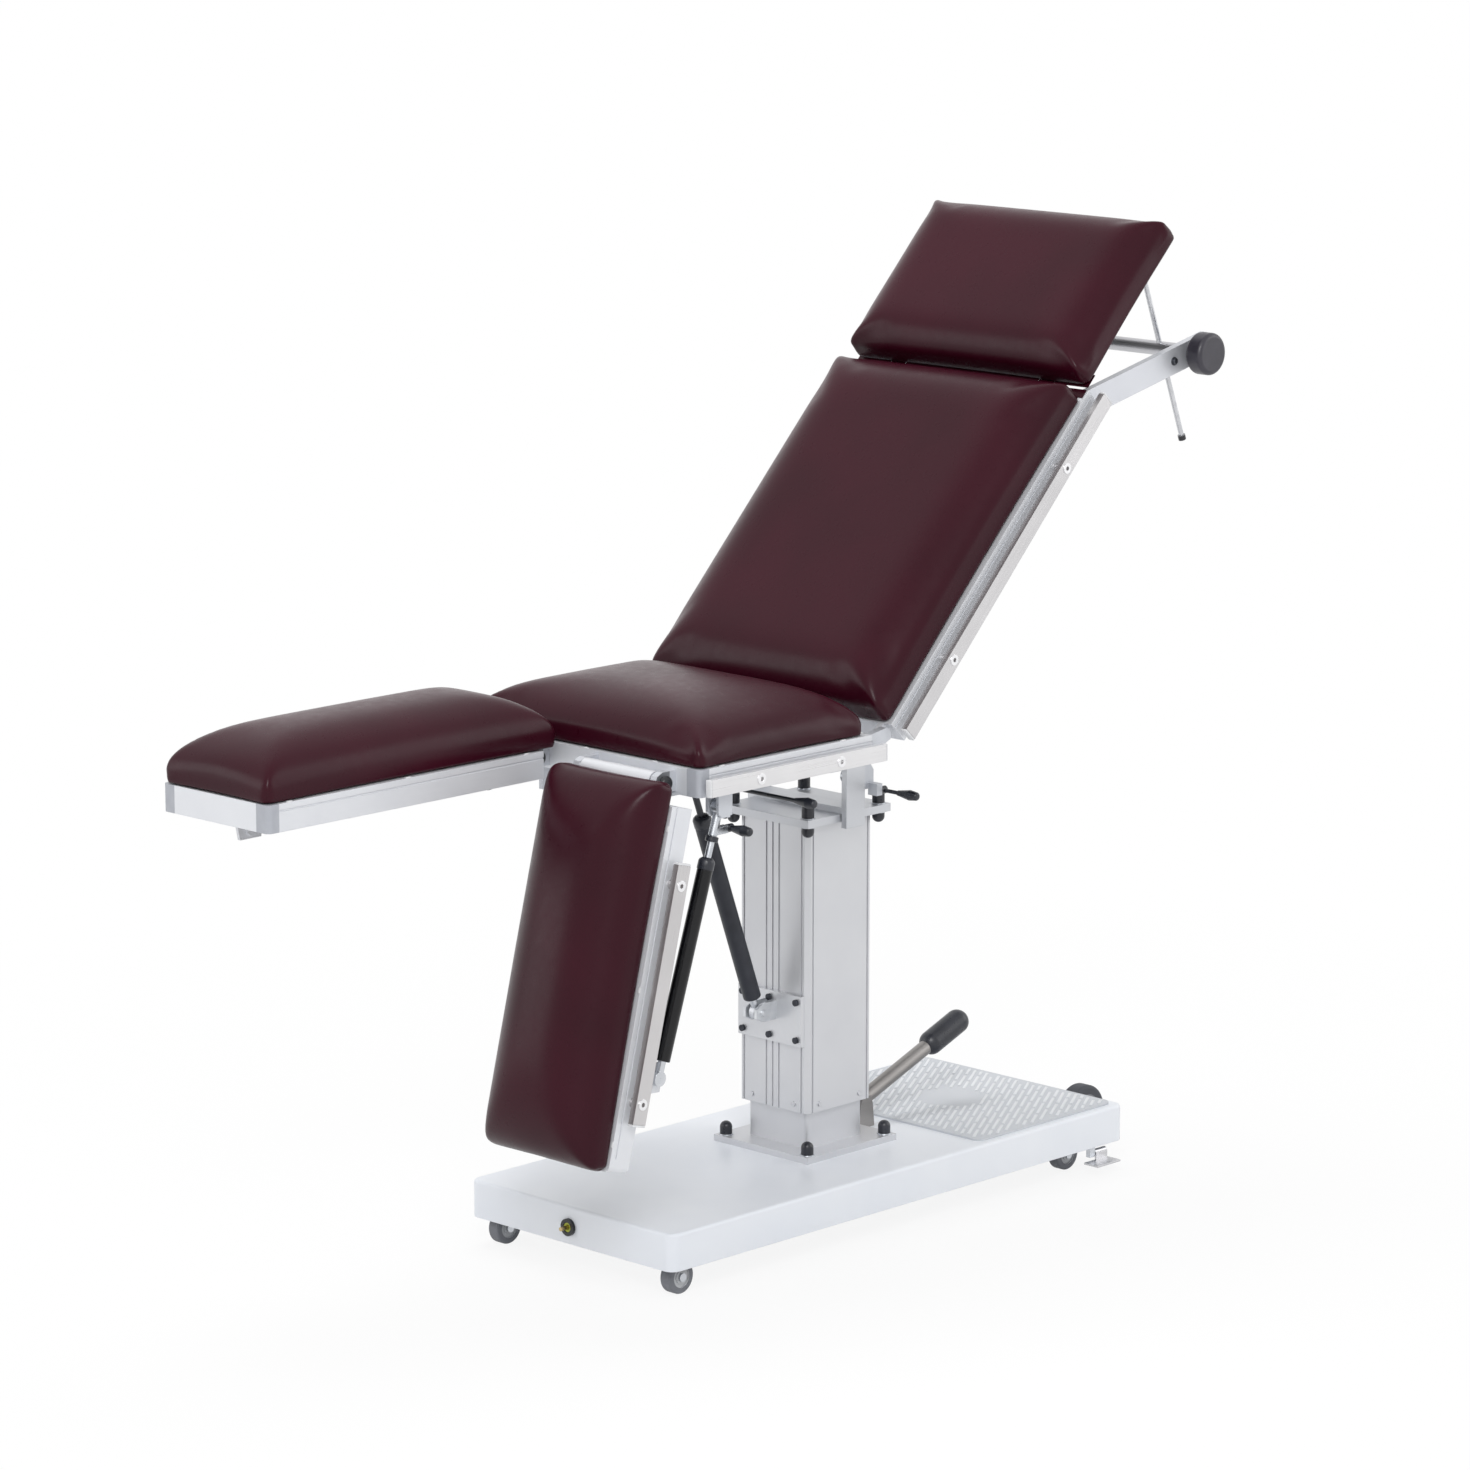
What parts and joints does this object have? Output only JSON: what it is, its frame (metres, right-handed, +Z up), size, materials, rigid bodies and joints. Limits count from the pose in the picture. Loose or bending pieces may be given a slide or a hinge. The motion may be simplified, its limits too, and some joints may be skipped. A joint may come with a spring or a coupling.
{
  "type": "operating table",
  "caption": "Split-leg operating table on a foot-pumped column with reclining back, tilting seat, folding headrest, side rails and a castored base pan.",
  "frame": {"origin": "on the floor under the column's axis", "axes": "+X to the head end, +Y to the side away from the clamp knob, +Z up"},
  "size_m": [1.7212, 0.545, 1.4794],
  "materials": {
    "white_paint": "powder-coated satin",
    "profile": "white-coated satin profile",
    "column": "satin anodised",
    "rail_steel": "brushed",
    "zinc": "bright plated",
    "black_plastic": "gloss",
    "black_tube": "gloss black",
    "vinyl": "fine-grained satin vinyl",
    "mat": "matt ribbed",
    "wheel": "matt",
    "brass": "bright",
    "board": "matt black"
  },
  "bodies": {
    "base": {"base_pan": "white_paint", "base_beams": "white_paint", "tread_mat": "mat", "bonding_pin": "brass", "column_inner": "column", "foot_cap_nuts": "black_plastic", "lift_cylinder": "rail_steel", "pump_bracket": "white_paint", "fixed_forks": "zinc"},
    "pump": {"pump_lever": "rail_steel", "pump_grip": "black_plastic"},
    "lift": {"column_outer": "column", "top_plate": "column", "top_cap_nuts": "black_plastic", "yoke": "white_paint", "tilt_clevis_plate": "column", "column_screws": "black_plastic", "lift_ram": "zinc"},
    "top": {"seat_frame": "profile", "seat_rails": "rail_steel", "seat_cushion": "vinyl", "seat_brackets": "white_paint"},
    "back": {"back_frame": "profile", "back_rails": "rail_steel", "back_cushion": "vinyl", "head_arms": "white_paint"},
    "headrest": {"head_board": "board", "head_cushion": "vinyl"},
    "head_bar": {"head_cross_bar": "white_paint"},
    "head_prop": {"head_props": "zinc"},
    "knob": {"head_knob": "black_plastic"},
    "leg_near": {"leg_frame_near": "profile", "leg_rail_near": "rail_steel", "leg_cushion_near": "vinyl"},
    "leg_far": {"leg_frame_far": "profile", "leg_rail_far": "rail_steel", "leg_cushion_far": "vinyl"},
    "roller": {"head_roller": "wheel"},
    "near_leg_rod": {"near_leg_spring_rod": "zinc"},
    "near_leg_tube": {"near_leg_spring_tube": "black_tube"},
    "near_leg_release": {"near_leg_lever": "black_plastic"},
    "far_leg_rod": {"far_leg_spring_rod": "zinc"},
    "far_leg_tube": {"far_leg_spring_tube": "black_tube"},
    "far_leg_release": {"far_leg_lever": "black_plastic"},
    "tilt_rod": {"tilt_spring_rod": "zinc"},
    "tilt_tube": {"tilt_spring_tube": "black_tube"},
    "tilt_release": {"tilt_lever": "black_plastic"},
    "back_rod": {"back_spring_rod": "zinc"},
    "back_tube": {"back_spring_tube": "black_tube"},
    "back_release": {"back_lever": "black_plastic"},
    "front_near": {"front_wheel_near": "wheel"},
    "swivel_near": {"rear_fork_near": "zinc"},
    "rear_near": {"rear_wheel_near": "wheel"},
    "pedal_near": {"brake_pedal_near": "rail_steel"},
    "front_far": {"front_wheel_far": "wheel"},
    "swivel_far": {"rear_fork_far": "zinc"},
    "rear_far": {"rear_wheel_far": "wheel"},
    "pedal_far": {"brake_pedal_far": "rail_steel"}
  },
  "joints": [
    {"name": "pump_stroke", "type": "hinge", "parent": "base", "child": "pump", "pos_m": [0.118, 0, 0.137], "axis": [0, 1, 0], "range_deg": [0, 18], "stiffness_Nm_per_rad": 25, "springref_deg": -11.46},
    {"name": "lift_slide", "type": "slide", "parent": "base", "child": "lift", "axis": [0, 0, 1], "range_m": [-0.05, 0.25]},
    {"name": "tilt_hinge", "type": "hinge", "parent": "lift", "child": "top", "pos_m": [0, 0, 0.712], "axis": [0, -1, 0], "range_deg": [-15, 8]},
    {"name": "back_hinge", "type": "hinge", "parent": "top", "child": "back", "pos_m": [-0.08, 0, 0.775], "axis": [0, -1, 0], "range_deg": [-46, 14]},
    {"name": "head_hinge", "type": "hinge", "parent": "back", "child": "headrest", "pos_m": [0.37235, 0, 1.23622], "axis": [0, -1, 0], "range_deg": [-20, 15]},
    {"name": "head_bar_turn", "type": "hinge", "parent": "back", "child": "head_bar", "pos_m": [0.60794, 0, 1.27145], "axis": [0, -1, 0], "range_deg": [-14.18, 10.63]},
    {"name": "head_prop_slide", "type": "slide", "parent": "head_bar", "child": "head_prop", "axis": [-0.3544, 0, 0.9351], "range_m": [-0.08163, 0.06123]},
    {"name": "knob_turn", "type": "hinge", "parent": "back", "child": "knob", "pos_m": [0.60794, 0, 1.27145], "axis": [0, 1, 0], "range_deg": [0, 180]},
    {"name": "leg_near_hinge", "type": "hinge", "parent": "top", "child": "leg_near", "pos_m": [-0.499, 0, 0.76], "axis": [0, 1, 0], "range_deg": [0, 75.6]},
    {"name": "leg_far_hinge", "type": "hinge", "parent": "top", "child": "leg_far", "pos_m": [-0.499, 0, 0.76], "axis": [0, 1, 0], "range_deg": [-75.6, 0]},
    {"name": "near_leg_spring_turn", "type": "hinge", "parent": "top", "child": "near_leg_rod", "pos_m": [-0.417, -0.225, 0.718], "axis": [0, 1, 0], "range_deg": [0, 69.28]},
    {"name": "near_leg_spring_slide", "type": "slide", "parent": "near_leg_rod", "child": "near_leg_tube", "axis": [-0.3141, 0, -0.9494], "range_m": [0, 0.10183]},
    {"name": "far_leg_spring_turn", "type": "hinge", "parent": "top", "child": "far_leg_rod", "pos_m": [-0.417, 0.225, 0.718], "axis": [0, 1, 0], "range_deg": [-69.28, 0]},
    {"name": "far_leg_spring_slide", "type": "slide", "parent": "far_leg_rod", "child": "far_leg_tube", "axis": [-0.9991, 0, -0.0423], "range_m": [-0.10183, 0]},
    {"name": "tilt_spring_turn", "type": "hinge", "parent": "top", "child": "tilt_rod", "pos_m": [-0.255, 0, 0.722], "axis": [0, -1, 0], "range_deg": [-6, 11.26]},
    {"name": "tilt_spring_slide", "type": "slide", "parent": "tilt_rod", "child": "tilt_tube", "axis": [0.347, 0, -0.9379], "range_m": [-0.03198, 0.05997]},
    {"name": "back_spring_turn", "type": "hinge", "parent": "top", "child": "back_rod", "pos_m": [0.04, -0.05, 0.668], "axis": [0, -1, 0], "range_deg": [-48.95, 14.9]},
    {"name": "back_spring_slide", "type": "slide", "parent": "back_rod", "child": "back_tube", "axis": [0.5345, 0, 0.8452], "range_m": [-0.12467, 0.03794]},
    {"name": "near_leg_lever_press", "type": "hinge", "parent": "near_leg_rod", "child": "near_leg_release", "pos_m": [-0.397, -0.225, 0.684], "axis": [1, 0, 0], "range_deg": [0, 10], "stiffness_Nm_per_rad": 1.5},
    {"name": "far_leg_lever_press", "type": "hinge", "parent": "far_leg_rod", "child": "far_leg_release", "pos_m": [-0.44172, 0.225, 0.68726], "axis": [-0.3539, 0, 0.9353], "range_deg": [0, 10], "stiffness_Nm_per_rad": 1.5},
    {"name": "tilt_lever_press", "type": "hinge", "parent": "tilt_rod", "child": "tilt_release", "pos_m": [-0.227, -0.016, 0.693], "axis": [1, 0, 0], "range_deg": [0, 8], "stiffness_Nm_per_rad": 4},
    {"name": "back_lever_press", "type": "hinge", "parent": "top", "child": "back_release", "pos_m": [0.0606, -0.1, 0.651], "axis": [1, 0, 0], "range_deg": [0, 8], "stiffness_Nm_per_rad": 1.5},
    {"name": "front_near_spin", "type": "hinge", "parent": "base", "child": "front_near", "pos_m": [-0.459, -0.18, 0.025], "axis": [0, 1, 0], "continuous": true},
    {"name": "swivel_near_turn", "type": "hinge", "parent": "base", "child": "swivel_near", "pos_m": [0.405, -0.153, 0.06], "axis": [0, 0, 1], "continuous": true},
    {"name": "rear_near_spin", "type": "hinge", "parent": "swivel_near", "child": "rear_near", "pos_m": [0.423, -0.153, 0.025], "axis": [0, 1, 0], "continuous": true},
    {"name": "pedal_near_press", "type": "hinge", "parent": "base", "child": "pedal_near", "pos_m": [0.4476, -0.203, 0.033], "axis": [1, 0, 0], "range_deg": [0, 8]},
    {"name": "front_far_spin", "type": "hinge", "parent": "base", "child": "front_far", "pos_m": [-0.459, 0.18, 0.025], "axis": [0, 1, 0], "continuous": true},
    {"name": "swivel_far_turn", "type": "hinge", "parent": "base", "child": "swivel_far", "pos_m": [0.405, 0.153, 0.06], "axis": [0, 0, 1], "continuous": true},
    {"name": "rear_far_spin", "type": "hinge", "parent": "swivel_far", "child": "rear_far", "pos_m": [0.423, 0.153, 0.025], "axis": [0, 1, 0], "continuous": true},
    {"name": "pedal_far_press", "type": "hinge", "parent": "base", "child": "pedal_far", "pos_m": [0.4476, 0.203, 0.033], "axis": [-1, 0, 0], "range_deg": [0, 8]},
    {"name": "roller_spin", "type": "hinge", "parent": "base", "child": "roller", "pos_m": [0.576, -0.057, 0.044], "axis": [0, 1, 0], "continuous": true}
  ],
  "couplings": [
    {"joint": "head_bar_turn", "follows": "head_hinge", "ratio": 0.70891},
    {"joint": "head_prop_slide", "follows": "head_hinge", "m_per_rad": 0.23384},
    {"joint": "near_leg_spring_turn", "follows": "leg_near_hinge", "ratio": 0.91629},
    {"joint": "near_leg_spring_slide", "follows": "leg_near_hinge", "m_per_rad": 0.077165},
    {"joint": "far_leg_spring_turn", "follows": "leg_far_hinge", "ratio": 0.91629},
    {"joint": "far_leg_spring_slide", "follows": "leg_far_hinge", "m_per_rad": 0.077165},
    {"joint": "tilt_spring_turn", "follows": "tilt_hinge", "ratio": -0.75032},
    {"joint": "tilt_spring_slide", "follows": "tilt_hinge", "m_per_rad": -0.22903},
    {"joint": "back_spring_turn", "follows": "back_hinge", "ratio": 1.0641},
    {"joint": "back_spring_slide", "follows": "back_hinge", "m_per_rad": 0.15526}
  ]
}
